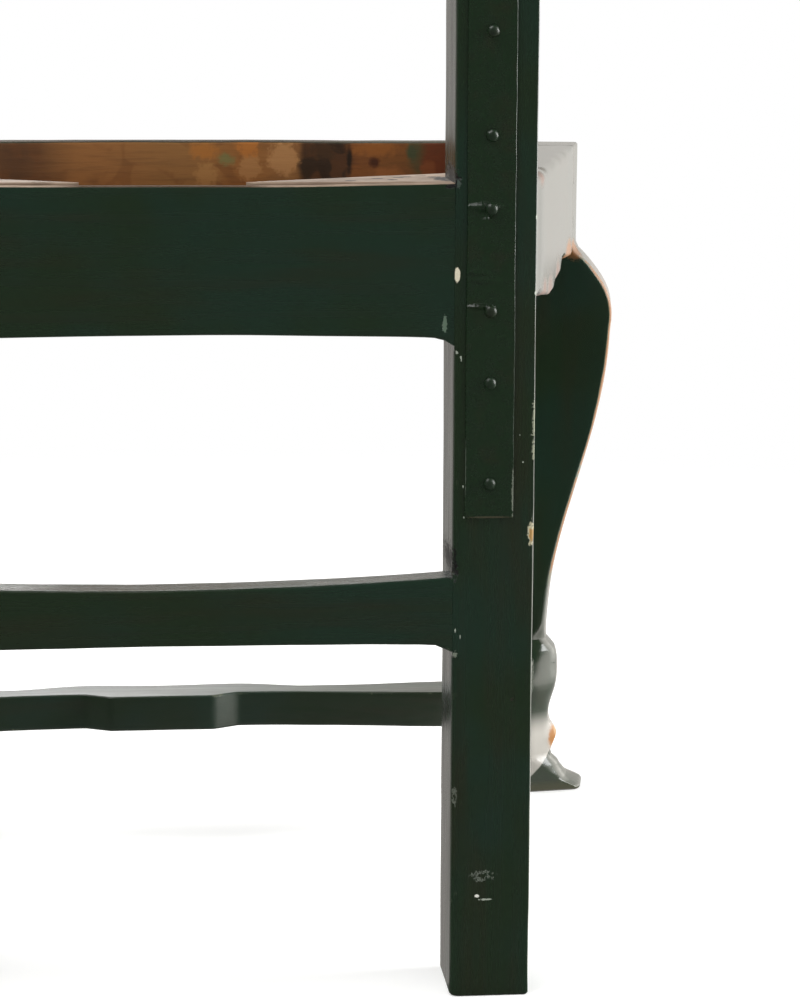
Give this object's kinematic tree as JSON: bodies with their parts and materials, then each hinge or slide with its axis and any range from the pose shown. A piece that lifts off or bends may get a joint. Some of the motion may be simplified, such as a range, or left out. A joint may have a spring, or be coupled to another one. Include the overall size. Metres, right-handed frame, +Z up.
{
  "type": "high-back side chair",
  "caption": "Tall painted side chair frame with cabriole front legs, vase splat, shaped crest, low stretchers and iron straps on the rear posts; the loose seat is missing.",
  "frame": {"origin": "on the floor, below the middle of the bounding box", "axes": "+Z up, -Y the way the sitter faces, -X the sitter's right"},
  "size_m": [0.6086, 0.5526, 1.15],
  "materials": {
    "painted_wood": "old dark green gloss paint over wood, worn through to orange-brown and chipped along the arrises",
    "bare_wood": "bare old wood, oxidised brown with stains and remains of paint",
    "painted_iron": "wrought iron under the same dark green paint, pitted, its edges worn bright",
    "bare_iron": "hand-made nails with dull brown rust"
  },
  "bodies": {
    "root": {"rear_post_right": "painted_wood", "rear_post_left": "painted_wood", "rear_rail": "painted_wood", "front_rail": "painted_wood", "side_rail_right": "painted_wood", "side_rail_left": "painted_wood", "front_leg_right": "painted_wood", "front_leg_left": "painted_wood", "knee_bracket_right": "painted_wood", "knee_bracket_left": "painted_wood", "rear_stretcher": "painted_wood", "side_stretcher_right": "painted_wood", "side_stretcher_left": "painted_wood", "middle_stretcher": "painted_wood", "lower_back_rail": "painted_wood", "splat": "painted_wood", "crest_rail": "painted_wood", "corner_block_right": "bare_wood", "corner_block_left": "bare_wood", "corner_board_right": "painted_wood", "corner_board_left": "painted_wood", "seat_cleat_front": "bare_wood", "seat_cleat_right": "bare_wood", "seat_cleat_left": "bare_wood", "iron_strap_right": "painted_iron", "iron_strap_left": "painted_iron", "strap_nails_right": "painted_iron", "strap_nails_left": "painted_iron", "seat_rail_pegs": "painted_wood", "stretcher_pegs": "painted_wood", "back_pegs": "painted_wood", "cleat_nails": "bare_iron", "board_nails": "painted_iron"}
  },
  "joints": []
}
